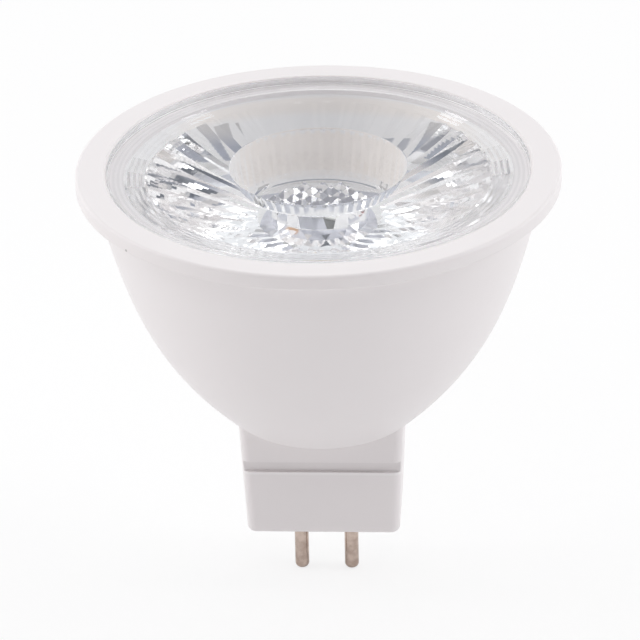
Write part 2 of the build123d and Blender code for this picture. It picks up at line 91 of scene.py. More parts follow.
class LensSettings(bpy.types.PropertyGroup):
    columns: IntProperty(
        name="Columns", description="Flutes round the flank", min=3, default=36)
    rows: IntProperty(
        name="Rows", description="Facets down the flank", min=1, default=24)
    bulge: FloatProperty(
        name="Bulge", description="How far the flank stands out of a straight cone",
        unit="LENGTH", default=0.6 * MM)
    flange_height: FloatProperty(
        name="Flange height", description="Height of the edge that lies in the seat",
        unit="LENGTH", default=1.96 * MM)
    seat_width: FloatProperty(
        name="Seat width", description="Width of the flat ring that lies on the seat",
        unit="LENGTH", default=1.75 * MM)
    seat_grooves: IntProperty(
        name="Seat grooves", description="Fine grooves under the flange", default=4, min=0)
    groove_depth: FloatProperty(
        name="Groove depth", description="Depth of the grooves under the flange",
        unit="LENGTH", default=0.05 * MM)
    ring_zone: FloatProperty(
        name="Ring zone", description="Width of the ring steps inside the seat",
        unit="LENGTH", default=2.35 * MM)
    ring_count: IntProperty(
        name="Rings", description="Ring steps between the seat and the flank", min=1, default=4)
    ring_relief: FloatProperty(
        name="Ring relief", description="Height of one ring step",
        unit="LENGTH", default=0.16 * MM)
    flank_depth: FloatProperty(
        name="Flank depth", description="Depth of the flank's top below the front",
        unit="LENGTH", default=3.0 * MM)
    foot_radius: FloatProperty(
        name="Foot radius", description="Corner radius of the flank's foot",
        unit="LENGTH", default=6.7 * MM)
    foot_rise: FloatProperty(
        name="Foot rise", description="How far the foot's outer edge stands above its inner edge",
        unit="LENGTH", default=0.2 * MM)
    flute_rise: FloatProperty(
        name="Flute rise", description="How far a flute's ridge stands out of its edges",
        unit="LENGTH", default=0.2 * MM)
    well_radius: FloatProperty(
        name="Well radius", description="Radius of the well's mouth",
        unit="LENGTH", default=9.1 * MM)
    well_draft: FloatProperty(
        name="Well draft", description="How much narrower the well's floor is",
        unit="LENGTH", default=0.7 * MM)
    well_depth: FloatProperty(
        name="Well depth", description="Depth of the well's floor below the front",
        unit="LENGTH", default=5.5 * MM)
    well_round: FloatProperty(
        name="Well round", description="Round between the well's wall and floor",
        unit="LENGTH", default=0.5 * MM)
    mouth_round: FloatProperty(
        name="Mouth round", description="Round of the well's mouth",
        unit="LENGTH", default=0.12 * MM)
    well_ribs: IntProperty(
        name="Well ribs", description="Fine ribs round the well's wall", min=3, default=54)
    rib_rise: FloatProperty(
        name="Rib rise", description="How far a rib of the well's wall stands out",
        unit="LENGTH", default=0.13 * MM)
    diamond_zone: FloatProperty(
        name="Diamond zone", description="Radius of the field of small pyramids",
        unit="LENGTH", default=7.1 * MM)
    diamond_pitch: FloatProperty(
        name="Diamond pitch", description="Spacing of the small pyramids",
        unit="LENGTH", default=1.35 * MM)
    diamond_height: FloatProperty(
        name="Diamond height", description="Height of the small pyramids",
        unit="LENGTH", default=0.75 * MM)
    diamond_flat: FloatProperty(
        name="Diamond flat", description="Width of the small pyramids' flat tops",
        unit="LENGTH", default=0.2 * MM)
    cavity_foot: FloatProperty(
        name="Cavity foot", description="Radius of the hollow over the light source at its foot",
        unit="LENGTH", default=5.5 * MM)
    cavity_roof: FloatProperty(
        name="Cavity roof", description="Radius of that hollow at its roof",
        unit="LENGTH", default=3.8 * MM)
    cavity_height: FloatProperty(
        name="Cavity height", description="Height of that hollow's wall",
        unit="LENGTH", default=7.2 * MM)
    cavity_drop: FloatProperty(
        name="Cavity drop", description="How far the convex roof hangs down in the middle",
        unit="LENGTH", default=1.1 * MM)
    cavity_cuts: IntProperty(
        name="Cavity cuts", description="Flat cuts round the cavity", min=3, default=18)
    tint: FloatVectorProperty(
        name="Tint", description="Tint of the clear moulding", subtype="COLOR",
        size=4, min=0, max=1, default=(0.985, 0.99, 1.0, 1))


class StageSettings(bpy.types.PropertyGroup):
    aim_height: FloatProperty(
        name="Aim height", description="Level on the bulb's axis at the middle of the picture",
        unit="LENGTH", default=22.79 * MM)
    aim_side: FloatProperty(
        name="Aim side", description="Sideways step of the aim from the bulb's axis",
        unit="LENGTH", default=-0.183 * MM)
    distance: FloatProperty(
        name="Distance", description="Distance of the camera from its aim",
        unit="LENGTH", default=497.6 * MM)
    azimuth: FloatProperty(
        name="Azimuth", description="Camera's turn about the bulb's axis",
        subtype="ANGLE", default=math.radians(3.5))
    elevation: FloatProperty(
        name="Elevation", description="Camera's height above the horizon",
        subtype="ANGLE", default=math.radians(27.63))
    roll: FloatProperty(
        name="Roll", description="Camera's turn about its own axis",
        subtype="ANGLE", default=math.radians(-1.30))
    focal_length: FloatProperty(
        name="Focal length", description="Camera's lens, in millimetres",
        subtype="DISTANCE_CAMERA", default=267.8)
    floor_colour: FloatVectorProperty(
        name="Floor colour", description="Colour of the pale floor", subtype="COLOR",
        size=4, min=0, max=1, default=(0.88, 0.88, 0.88, 1))


# Node building

class Wire:
    """Output socket of a node, on which Python arithmetic adds Math nodes."""

    def __init__(self, graph, socket):
        self.graph = graph
        self.socket = socket

    def math(self, operation, *values):
        return self.graph.add("ShaderNodeMath", {"operation": operation}, dict(enumerate(values)))

    def __add__(self, other):
        return self.math("ADD", self, other)

    def __sub__(self, other):
        return self.math("SUBTRACT", self, other)

    def __rsub__(self, other):
        return self.math("SUBTRACT", other, self)

    def __mul__(self, other):
        return self.math("MULTIPLY", self, other)

    def __pow__(self, other):
        return self.math("POWER", self, other)

    def __abs__(self):
        return self.math("ABSOLUTE", self)

    __radd__ = __add__
    __rmul__ = __mul__

    def sine(self):
        return self.math("SINE", self)

    def about(self, mean, spread):
        """Pattern from 0 to 1 as a value that is spread about a mean."""
        return mean - spread / 2 + spread * self

    def rise(self, low, high):
        """Eased 0 to 1 as the value goes from low to high."""
        settings = {"interpolation_type": "SMOOTHSTEP"}
        return self.graph.add("ShaderNodeMapRange", settings, {0: self, 1: low, 2: high})

    def fall(self, low, high):
        """Eased 1 to 0 as the value goes from low to high."""
        return 1 - self.rise(low, high)

    def window(self, low, full, fading, high):
        """1 between full and fading, eased to 0 at low and at high."""
        return self.rise(low, full) * self.fall(fading, high)


class Graph:
    """One node tree. Every node in it comes from add()."""

    def __init__(self, tree):
        self.tree = tree
        tree.nodes.clear()

    def add(self, kind, settings=None, inputs=None, output=0):
        """New node: its settings first, then its sockets' values or links. Gives one output."""
        node = self.tree.nodes.new(kind)
        for key, value in (settings or {}).items():
            setattr(node, key, value)
        for key, value in (inputs or {}).items():
            if isinstance(value, Wire):
                self.tree.links.new(value.socket, node.inputs[key])
            else:
                node.inputs[key].default_value = value
        return Wire(self, node.outputs[output]) if node.outputs else None

    def blend(self, factor, first, second):
        """Colour between two colours."""
        inputs = {0: factor, 6: first, 7: second}
        return self.add("ShaderNodeMix", {"data_type": "RGBA"}, inputs, 2)

    def mix(self, factor, first, second):
        """Shader between two shaders."""
        return self.add("ShaderNodeMixShader", None, {0: factor, 1: first, 2: second})

    def ray(self, kind):
        """1 on rays of one kind and 0 on all others."""
        return self.add("ShaderNodeLightPath", output="Is " + kind + " Ray")

    def place(self, scale=(1, 1, 1)):
        """Position on the bulb, stretched by scale. One unit is a metre."""
        point = self.add("ShaderNodeTexCoord", output="Object")
        return self.add("ShaderNodeMapping", None, {"Vector": point, "Scale": scale})

    def parts(self, vector):
        """The three numbers of a vector."""
        split = self.add("ShaderNodeSeparateXYZ", None, {0: vector})
        return [Wire(self, socket) for socket in split.socket.node.outputs]

    def measure(self, operation, vector, other):
        """Number that Vector Math gives for two vectors."""
        inputs = {0: vector, 1: other}
        return self.add("ShaderNodeVectorMath", {"operation": operation}, inputs, "Value")

    def noise(self, grain, detail=2.0, stretch=(1, 1, 1)):
        """Soft noise with grains of about this size, in metres, as a value from 0 to 1."""
        inputs = {"Vector": self.place(stretch), "Scale": 1 / grain, "Detail": detail}
        return self.add("ShaderNodeTexNoise", None, inputs)

    def bump(self, height, depth):
        """Surface normal bent by a height pattern whose full relief is depth, in metres."""
        return self.add("ShaderNodeBump", None, {"Height": height, "Distance": depth})

    def principled(self, **inputs):
        """Principled shader. Input names have _ for spaces."""
        named = {key.replace("_", " "): value for key, value in inputs.items()}
        return self.add("ShaderNodeBsdfPrincipled", None, named)

    def show(self, shader):
        """Puts a shader on the material's output."""
        self.add("ShaderNodeOutputMaterial", None, {"Surface": shader})


def new_finish(name):
    """Empty material with its node graph."""
    material = bpy.data.materials.new(name)
    material.use_nodes = True
    return material, Graph(material.node_tree)


def reach(x, y):
    """Distance from the bulb's axis."""
    return (x ** 2 + y ** 2) ** 0.5


def bearing(x, y):
    """Turn about the bulb's axis in radians: 0 at the right, a quarter turn at the back."""
    return y.math("ARCTAN2", y, x)


def shade(colour, share):
    """Colour with its three channels times a share."""
    return tuple(share * channel for channel in colour[:3]) + (1,)


# Finishes. A zone's two numbers are where its edge begins and ends. Four are its two edges.

GROOVE_WIDTH = mm(8.2, 8.3)
# Painted shade inside the groove of the base block's wide faces
GROOVE_SHADE = mm(7.55, 7.6, 8.7, 8.85)
# Painted highlight along the lip under the groove
GROOVE_HIGHLIGHT = mm(7.15, 7.4, 7.5, 7.55)
GROOVE_STRENGTH = 0.5
HIGHLIGHT_WHITE = (0.9, 0.88, 0.88, 1)
SEAT_LEVELS = mm(38.6, 38.65, 38.75, 38.8)
SEAT_EDGE = mm(21.5, 21.6)
SEAT_LINE_PITCH = 0.5 * MM
# A small grey speck low on the rim
SPECK_PLACE = mm(-18.4, -16.9, 39.36)
SPECK_EDGE = mm(0.1, 0.2)
SPECK_GREY = (0.48, 0.46, 0.45, 1)


def white_moulding():
    """White moulded plastic with a fine eroded skin, painted shade in the base's groove with a
    painted highlight under it, and darker ring lines on the lens's seat.
    """
    look = bpy.context.scene.bulb_housing
    base = tuple(look.colour)
    material, graph = new_finish("housing_white")
    tone = graph.noise(grain=9 * MM)
    skin = graph.noise(grain=0.12 * MM, detail=3)
    point = graph.place()
    x, y, height = graph.parts(point)
    radius = reach(x, y)
    groove = GROOVE_STRENGTH * abs(x).fall(*GROOVE_WIDTH)
    colour = graph.blend(tone, shade(base, share=0.975), base)
    # Painted shade in the groove
    colour = graph.blend(groove * height.window(*GROOVE_SHADE), colour, shade(base, share=0.88))
    # Painted highlight on the lip under the groove
    colour = graph.blend(groove * height.window(*GROOVE_HIGHLIGHT), colour, HIGHLIGHT_WHITE)
    # Darker ring lines on the lens's seat
    seat = height.window(*SEAT_LEVELS) * radius.fall(*SEAT_EDGE)
    lines = 0.5 + 0.5 * (radius * (2 * math.pi / SEAT_LINE_PITCH)).sine()
    colour = graph.blend(seat * lines, colour, shade(base, share=0.86))
    away = graph.measure("DISTANCE", point, SPECK_PLACE)
    colour = graph.blend(away.rise(*SPECK_EDGE), SPECK_GREY, colour)
    graph.show(graph.principled(
        Base_Color=colour,
        Roughness=skin.about(look.roughness, spread=0.12),
        Normal=graph.bump(skin, depth=0.006 * MM),
        IOR=1.5))
    return material


MATT_FROM = mm(21.7, 21.76)
MATT_ROUGHNESS = 0.48
SATIN_FROM = mm(17.6, 17.8)
SATIN_BELOW = mm(39.5, 39.6)
SATIN_ROUGHNESS = 0.12
POLISH_ROUGHNESS = 0.012


def clear_moulding():
    """Clear moulded plastic, polished, with satin rings and a matt edge.

    Shadow rays and scattered light go straight through it.
    """
    look = bpy.context.scene.bulb_lens
    material, graph = new_finish("lens_clear")
    flow = graph.noise(grain=2.5 * MM, detail=1)
    x, y, height = graph.parts(graph.place())
    radius = reach(x, y)
    edge = radius.rise(*MATT_FROM)
    rings = radius.rise(*SATIN_FROM) * height.fall(*SATIN_BELOW)
    moulding = graph.principled(
        Base_Color=tuple(look.tint),
        Roughness=POLISH_ROUGHNESS * flow + SATIN_ROUGHNESS * rings + MATT_ROUGHNESS * edge,
        Transmission_Weight=1.0,
        IOR=1.49)
    straight = graph.ray("Shadow") + graph.ray("Diffuse")
    graph.show(graph.mix(straight, moulding, graph.add("ShaderNodeBsdfTransparent")))
    return material


NICKEL_DARK = (0.50, 0.395, 0.335, 1)
NICKEL_LIGHT = (0.68, 0.565, 0.49, 1)
STAIN_EDGE = (0.3, 0.7)


def nickel_wire():
    """Nickel-plated contact wire with fine draw lines along its length."""
    material, graph = new_finish("pin_nickel")
    lines = graph.noise(grain=0.12 * MM, detail=3, stretch=(1, 1, 0.05))
    stain = graph.noise(grain=0.9 * MM, detail=3).rise(*STAIN_EDGE)
    graph.show(graph.principled(
        Base_Color=graph.blend(stain, NICKEL_DARK, NICKEL_LIGHT),
        Metallic=1.0,
        Roughness=lines.about(mean=0.14, spread=0.12),
        Normal=graph.bump(lines, depth=0.004 * MM)))
    return material


# The cup's turns are counted from the back, to both sides, in radians
RAGGEDNESS = 2 * MM
# A ragged belt and two strips at the back are darker and bluish grey
BELT_LEVELS = mm(26.2, 26.5, 28.4, 28.7)
BELT_END = (0.36, 0.38)
BELT_BLUE_GREY = (0.48, 0.49, 0.54, 1)
STRIP_TURNS = (0.475, 0.485, 0.59, 0.6)
STRIP_LEVELS = mm(25.2, 25.6, 32.6, 33)
STRIP_FADE = mm(26, 31)
STRIP_FOOT = (0.36, 0.385, 0.47, 1)
STRIP_HEAD = (0.60, 0.585, 0.58, 1)
# Painted warm light, reflected from the yellow phosphor, high on the cup's back wall
PAINTED_WARM_LEVELS = mm(31, 33.5, 36.7, 37.1)
PAINTED_WARM_END = (0.6, 1.0)
PAINTED_WARM_LIGHT = (0.95, 0.90, 0.85, 1)
COAT_DARK = (0.93, 0.925, 0.92, 1)
COAT_LIGHT = (0.96, 0.955, 0.95, 1)
COAT_LINES = (0.86, 0.85, 0.84, 1)
COAT_LINE_STRENGTH = 0.25


def coated_cup():
    """White coat on the pressed cup, with painted warm light from the yellow phosphor higher up at
    the back.

    It is darker and bluish grey in a ragged belt and two strips at the back.
    """
    material, graph = new_finish("sink_white")
    lines = graph.noise(grain=0.3 * MM, detail=3, stretch=(0.15, 0.15, 1))
    patch = graph.noise(grain=3 * MM)
    x, y, height = graph.parts(graph.place())
    sway = abs(bearing(x, y) - math.pi / 2)
    ragged = height + RAGGEDNESS * patch
    belt = ragged.window(*BELT_LEVELS) * sway.fall(*BELT_END)
    strips = sway.window(*STRIP_TURNS) * ragged.window(*STRIP_LEVELS)
    patch_tone = graph.blend(height.rise(*STRIP_FADE), STRIP_FOOT, STRIP_HEAD)
    patch_tone = graph.blend(belt, patch_tone, BELT_BLUE_GREY)
    # Painted warm light
    warm_light = height.window(*PAINTED_WARM_LEVELS) * sway.fall(*PAINTED_WARM_END)
    tone = graph.blend(patch, COAT_DARK, COAT_LIGHT)
    tone = graph.blend(warm_light, tone, PAINTED_WARM_LIGHT)
    tone = graph.blend(COAT_LINE_STRENGTH * lines, tone, COAT_LINES)
    coat = (1 - belt) * (1 - strips)
    graph.show(graph.principled(
        Base_Color=graph.blend(coat, patch_tone, tone),
        Roughness=lines.about(mean=0.45, spread=0.2),
        Normal=graph.bump(lines, depth=0.008 * MM)))
    return material


MASK_DARK = (0.78, 0.78, 0.78, 1)
MASK_LIGHT = (0.84, 0.84, 0.84, 1)
# The land of pads is an oval, a little narrower than deep and set to the front
LAND_EDGE = mm(7.1, 7.2)
LAND_SQUEEZE = 1.15
LAND_SHIFT = 1.6 * MM
LAND_METAL = (0.36, 0.37, 0.43, 1)
PAD_METAL = (0.57, 0.58, 0.65, 1)
PAD_EDGE = (0.46, 0.54)
RIM_INNER = mm(11.0, 11.3)
# At the back the bare rim ends here; elsewhere it runs to the board's edge
RIM_OUTER = mm(13.2, 13.4)
RIM_BACK = mm(0, 3)
RIM_METAL = (0.50, 0.52, 0.58, 1)
# Copper and chip lie where the sine of the bearing and their own turn is near 1
COPPER_TURN = 3.80
COPPER_ENDS = (0.98, 0.985)
COPPER_RING = mm(6.5, 6.6, 7.8, 7.9)
COPPER = (0.55, 0.30, 0.14, 1)
CHIP_TURN = 2.66
CHIP_ENDS = (0.975, 0.98)
CHIP_EDGE = mm(5.1, 5.2)
CHIP_BLACK = (0.05, 0.05, 0.05, 1)


def printed_board():
    """White solder mask between a bare metal rim and a land of small pads."""
    material, graph = new_finish("board_white")
    x, y, _ = graph.parts(graph.place())
    radius, turn = reach(x, y), bearing(x, y)
    grain = graph.noise(grain=0.8 * MM)
    mask = graph.blend(grain, MASK_DARK, MASK_LIGHT)
    pads = graph.noise(grain=2.2 * MM, detail=0).rise(*PAD_EDGE)
    land = graph.blend(pads, LAND_METAL, PAD_METAL)
    oval = reach(LAND_SQUEEZE * x, y + LAND_SHIFT)
    colour = graph.blend(oval.rise(*LAND_EDGE), land, mask)
    rim = radius.rise(*RIM_INNER) * (1 - radius.rise(*RIM_OUTER) * y.rise(*RIM_BACK))
    colour = graph.blend(rim, colour, RIM_METAL)
    copper = (turn + COPPER_TURN).sine().rise(*COPPER_ENDS) * radius.window(*COPPER_RING)
    colour = graph.blend(copper, colour, COPPER)
    chip = (turn + CHIP_TURN).sine().rise(*CHIP_ENDS) * radius.fall(*CHIP_EDGE)
    graph.show(graph.principled(
        Base_Color=graph.blend(chip, colour, CHIP_BLACK),
        Roughness=grain.about(mean=0.4, spread=0.1)))
    return material


# Turns about 0.5 mm apart
WINDING_SCALE = 0.5 / (0.25 * MM) / math.pi
ENAMEL_DARK = (0.30, 0.09, 0.03, 1)
ENAMEL_LIGHT = (0.72, 0.30, 0.13, 1)


def wound_copper():
    """Enamelled copper wire, turn beside turn."""
    material, graph = new_finish("copper")
    inputs = {"Vector": graph.place(), "Scale": WINDING_SCALE}
    turns = graph.add("ShaderNodeTexWave", {"bands_direction": "Y"}, inputs)
    graph.show(graph.principled(
        Base_Color=graph.blend(turns, ENAMEL_DARK, ENAMEL_LIGHT),
        Metallic=0.85,
        Roughness=turns.about(mean=0.33, spread=0.1),
        Normal=graph.bump(turns, depth=0.05 * MM)))
    return material


def speckled(name, dark, light, size, roughness, metallic):
    """Plain finish whose colour drifts between two tones in grains of one size."""
    material, graph = new_finish(name)
    grain = graph.noise(size, detail=3)
    graph.show(graph.principled(
        Base_Color=graph.blend(grain, dark, light),
        Metallic=metallic,
        Roughness=grain.about(roughness, spread=0.16),
        Normal=graph.bump(grain, depth=0.01 * MM)))
    return material


# Plain finishes: name, dark and light tone, grain, roughness, metallic, and the nodes that have it
LIGHT_SOURCE_FINISHES = (
    ("pad_grey", (0.2, 0.21, 0.22, 1), (0.3, 0.31, 0.32, 1), 0.3 * MM, 0.7, 0.0,
     ("thermal_pad",)),
    ("ceramic_white", (0.76, 0.76, 0.74, 1), (0.84, 0.84, 0.82, 1), 0.2 * MM, 0.5, 0.0,
     ("led_substrate", "led_dam")),
    ("phosphor_yellow", (0.80, 0.45, 0.06, 1), (0.90, 0.58, 0.12, 1), 0.15 * MM, 0.5, 0.0,
     ("led_phosphor",)),
    ("screw_steel", (0.5, 0.5, 0.5, 1), (0.62, 0.62, 0.61, 1), 0.4 * MM, 0.35, 1.0,
     ("board_screws",)),
    ("lead_red", (0.42, 0.02, 0.015, 1), (0.52, 0.03, 0.02, 1), 0.5 * MM, 0.45, 0.0,
     ("led_lead_positive",)),
    ("lead_black", (0.012, 0.012, 0.012, 1), (0.03, 0.03, 0.03, 1), 0.5 * MM, 0.45, 0.0,
     ("led_lead_negative",)),
)
DRIVER_FINISHES = (
    ("driver_green", (0.02, 0.12, 0.05, 1), (0.04, 0.2, 0.09, 1), 1.2 * MM, 0.4, 0.0,
     ("driver_board",)),
    ("package_black", (0.012, 0.012, 0.013, 1), (0.03, 0.03, 0.03, 1), 0.15 * MM, 0.55, 0.0,
     ("rectifier", "driver_chip", "freewheel_diode", "sense_resistors")),
    ("can_sleeve", (0.02, 0.025, 0.06, 1), (0.03, 0.04, 0.09, 1), 1.0 * MM, 0.35, 0.0,
     ("bulk_capacitor",)),
    ("ferrite_grey", (0.05, 0.05, 0.055, 1), (0.09, 0.09, 0.095, 1), 0.2 * MM, 0.6, 0.0,
     ("inductor_core",)),
    ("ceramic_tan", (0.36, 0.24, 0.13, 1), (0.45, 0.31, 0.18, 1), 0.2 * MM, 0.5, 0.0,
     ("output_capacitor",)),
)


def dress(material, *nodes):
    """Gives CAD nodes their finish."""
    for node in nodes:
        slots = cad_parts[node].data.materials
        slots.clear()
        slots.append(material)


def dress_plain(finishes):
    """Gives CAD nodes the plain finishes of a table."""
    for *look, nodes in finishes:
        dress(speckled(*look), *nodes)


# Mesh building

class Loop(NamedTuple):
    """Closed row of points on the lens, perhaps a sharp edge, perhaps with flat facets after it."""
    points: list
    sharp: bool = False
    flat: bool = False


def around(row):
    """Each item of a closed row with the next one."""
    return zip(row, row[1:] + row[:1])


def circle(radius, level, count):
    """Points of a level circle about the bulb's axis."""
    turns = [2 * math.pi * i / count for i in range(count)]
    return [Vector((radius * math.cos(a), radius * math.sin(a), level)) for a in turns]


def fluted(radius, level, count, sides, rise):
    """Points of a circle's inscribed polygon whose sides stand out by rise in their middles."""
    share = count // sides
    points = []
    for corner, onward in around(circle(radius, level, sides)):
        outward = ((corner + onward) * Vector((1, 1, 0))).normalized()
        for k in range(share):
            along = k / share
            hump = 1 - abs(2 * along - 1)
            points.append(corner.lerp(onward, along) + outward * rise * hump)
    return points


def arc(centre, radius, start, end, steps):
    """(radius, level) points along an arc in the bulb's section."""
    angles = [start + (end - start) * i / steps for i in range(steps + 1)]
    return [(centre[0] + radius * math.cos(a), centre[1] + radius * math.sin(a)) for a in angles]


def add_band(bm, first, second, smooth):
    """Faces between two loops that run the same way."""
    for (a, b), (d, c) in zip(around(first), around(second)):
        bm.faces.new((a, b, c, d)).smooth = smooth


def add_piece(name, mesh, node, material):
    """Object that stands for a CAD node, in its place and on its body."""
    mesh.materials.append(material)
    piece = bpy.data.objects.new(name, mesh)
    bpy.context.scene.collection.objects.link(piece)
    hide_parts(node)
    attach(piece, "root")


# Pieces

class BULB_OT_housing(bpy.types.Operator):
    """Finish the white moulding: rim, bowl and base block"""
    bl_idname = "bulb.housing"
    bl_label = "Housing"

    def execute(self, context):
        dress(white_moulding(), "housing")
        return {"FINISHED"}


class BULB_OT_lens(bpy.types.Operator):
    """Build the clear lens: flange, ring steps, faceted flank, well with small pyramids, cavity"""
    bl_idname = "bulb.lens"
    bl_label = "Lens"

    def execute(self, context):
        mesh = lens_mesh(context.scene.bulb_lens)
        add_piece("lens_moulding", mesh, "lens", clear_moulding())
        return {"FINISHED"}


POINTS_PER_COLUMN = 6
WELL_ROUND_STEPS = 6
MOUTH_ROUND_STEPS = 4
# Shares of the well's wall at which the ribs begin and end
RIB_ENDS = (0.08, 0.8)


def lens_mesh(size):
    """Closed mesh of the lens, from the well's floor, over the flank, to the cavity's roof."""
    count = POINTS_PER_COLUMN * size.columns
    zones = (well_loops, flange_loops, ring_loops, flank_loops)
    loops = [loop for zone in zones for loop in zone(size, count)]
    bm = bmesh.new()
    rows = [[bm.verts.new(point) for point in loop.points] for loop in loops]
    for loop, first, second in zip(loops, rows, rows[1:]):
        add_band(bm, first, second, not loop.flat)
    for loop, row in zip(loops, rows):
        for pair in around(row):
            bm.edges.get(pair).smooth = not loop.sharp
    cut_cavity(bm, rows[-1], size)
    fill_diamonds(bm, rows[0], size)
    bmesh.ops.recalc_face_normals(bm, faces=bm.faces)
    mesh = bpy.data.meshes.new("lens_moulding")
    bm.to_mesh(mesh)
    bm.free()
    return mesh


def well_loops(size, count):
    """Loops from the edge of the well's floor, up its ribbed wall and over its mouth."""
    front = LENS_HIGH.z
    floor_level = front - size.well_depth
    floor_edge = size.well_radius - size.well_draft - size.well_round
    corner = (floor_edge, floor_level + size.well_round)
    brim = (size.well_radius + size.mouth_round, front - size.mouth_round)
    yield Loop(circle(floor_edge, floor_level, count))
    for radius, level in arc(corner, size.well_round, -math.pi / 2, 0, WELL_ROUND_STEPS)[1:]:
        yield Loop(circle(radius, level, count))
    foot, head = Vector((radius, level)), Vector((size.well_radius, brim[1]))
    for share in RIB_ENDS:
        radius, level = foot.lerp(head, share)
        yield Loop(fluted(radius, level, count, size.well_ribs, size.rib_rise), flat=True)
    for radius, level in arc(brim, size.mouth_round, math.pi, math.pi / 2, MOUTH_ROUND_STEPS):
        yield Loop(circle(radius, level, count))


def flange_loops(size, count):
    """Loops round the flange's edge and over the grooved ring that lies on the seat."""
    front, edge = LENS_HIGH.z, LENS_HIGH.x
    seat = front - size.flange_height
    step = size.seat_width / (size.seat_grooves + 0.5)
    yield Loop(circle(edge, front, count), sharp=True)
    yield Loop(circle(edge, seat, count), sharp=True)
    for i in range(size.seat_grooves):
        near = edge - step * (i + 0.5)
        yield Loop(circle(near, seat, count))
        yield Loop(circle(near - step / 2, seat + size.groove_depth, count))
    yield Loop(circle(edge - size.seat_width, seat, count), sharp=True)


def ring_loops(size, count):
    """Loops of the ring steps between the seat and the flank."""
    inner = LENS_HIGH.x - size.seat_width
    seat = LENS_HIGH.z - size.flange_height
    flank_level = LENS_HIGH.z - size.flank_depth
    for i in range(size.ring_count):
        near = inner - size.ring_zone * (i + 0.5) / size.ring_count
        far = inner - size.ring_zone * (i + 1) / size.ring_count
        level = seat + (flank_level - seat) * (i + 1) / size.ring_count
        ridge = fluted(near, level + size.ring_relief, count, size.columns, 0)
        yield Loop(ridge, sharp=True, flat=True)
        if i < size.ring_count - 1:
            yield Loop(fluted(far, level, count, size.columns, 0), sharp=True, flat=True)


def flank_loops(size, count):
    """Loops down the faceted flank, and the edge of the cavity in its foot."""
    inner = LENS_HIGH.x - size.seat_width
    top = Vector((inner - size.ring_zone, LENS_HIGH.z - size.flank_depth))
    base = Vector((size.foot_radius, LENS_LOW.z + size.foot_rise))
    chord = base - top
    outward = Vector((-chord.y, chord.x)).normalized()
    for row in range(size.rows + 1):
        share = row / size.rows
        bulge = 4 * size.bulge * share * (1 - share)
        point = top + chord * share + outward * bulge
        points = fluted(point.x, point.y, count, size.columns, size.flute_rise)
        yield Loop(points, sharp=True, flat=row < size.rows)
    yield Loop(fluted(size.cavity_foot, LENS_LOW.z, count, size.cavity_cuts, 0), sharp=True)


# Tiers of the cavity's wall: shares of its slope and of its height. Then a ring in its roof:
# shares of the roof's radius and of its drop.
CAVITY_TIERS = ((0.2, 0.34), (0.75, 0.7))
ROOF_RING = (0.58, 0.38)


def cut_cavity(bm, low, size):
    """Cavity over the light source, cut like a gem: tiers of triangles up to one point."""
    sides, foot = size.cavity_cuts, LENS_LOW.z
    share = len(low) // sides
    spans = [low[i * share:(i + 1) * share + 1] for i in range(sides)]
    spans[-1].append(low[0])
    tip = foot + size.cavity_height - size.cavity_drop
    slim = size.cavity_foot - size.cavity_roof
    rings = [(size.cavity_foot - slope * slim, foot + rise * size.cavity_height)
             for slope, rise in CAVITY_TIERS]
    rings.append((size.cavity_roof, foot + size.cavity_height))
    rings.append((ROOF_RING[0] * size.cavity_roof, tip + ROOF_RING[1] * size.cavity_drop))
    for order, (radius, level) in enumerate(rings, 1):
        turned = Matrix.Rotation(order * math.pi / sides, 3, "Z")
        ring = [bm.verts.new(turned @ point) for point in circle(radius, level, sides)]
        for span, (here, onward) in zip(spans, around(ring)):
            for first, second in zip(span, span[1:]):
                bm.faces.new((first, second, here))
            bm.faces.new((span[-1], onward, here))
        spans = list(around(ring))
    middle = bm.verts.new((0, 0, tip))
    for first, second in spans:
        bm.faces.new((first, second, middle))


DIAMOND_TURN = math.radians(45)
DIAMOND_SEED = 5
# How far a peak may stand beside its middle, as a share of the pitch
DIAMOND_STRAY = 0.1


def fill_diamonds(bm, rim, size):
    """Floor of the well: small pyramids turned by 45 degrees, and the flat ring round them."""
    pitch = size.diamond_pitch
    level = LENS_HIGH.z - size.well_depth
    margin = pitch / 3
    most = math.ceil(size.diamond_zone / pitch)
    turned = Matrix.Rotation(DIAMOND_TURN, 3, "Z")
    flat = Vector((1, 1, 0))
    chance = random.Random(DIAMOND_SEED)
    corners = {}

    def corner(i, j):
        if (i, j) not in corners:
            place = turned @ Vector(((i - 0.5) * pitch, (j - 0.5) * pitch, 0))
            corners[i, j] = bm.verts.new(place + Vector((0, 0, level)))
        return corners[i, j]

    for i in range(-most, most + 1):
        for j in range(-most, most + 1):
            if math.hypot(i, j) * pitch > size.diamond_zone - margin:
                continue
            square = [corner(i, j), corner(i + 1, j), corner(i + 1, j + 1), corner(i, j + 1)]
            astray = Vector((chance.uniform(-1, 1), chance.uniform(-1, 1), 0))
            astray = astray * DIAMOND_STRAY * pitch
            peak = turned @ (Vector((i * pitch, j * pitch, 0)) + astray)
            peak.z = level + size.diamond_height
            top = [bm.verts.new(peak + (vert.co - peak) * flat * size.diamond_flat / pitch)
                   for vert in square]
            bm.faces.new(top)
            add_band(bm, square, top, smooth=False)
    bm.edges.index_update()
    ring = [bm.edges.get(pair) for pair in around(rim)]
    border = [edge for vert in corners.values() for edge in vert.link_edges
              if len(edge.link_faces) == 1]
    bmesh.ops.triangle_fill(bm, edges=list(set(ring + border)), normal=(0, 0, 1), use_beauty=True)


class BULB_OT_contact_pins(bpy.types.Operator):
    """Finish the two contact pins"""
    bl_idname = "bulb.contact_pins"
    bl_label = "Contact pins"

    def execute(self, context):
        dress(nickel_wire(), "contact_pin_left", "contact_pin_right")
        return {"FINISHED"}


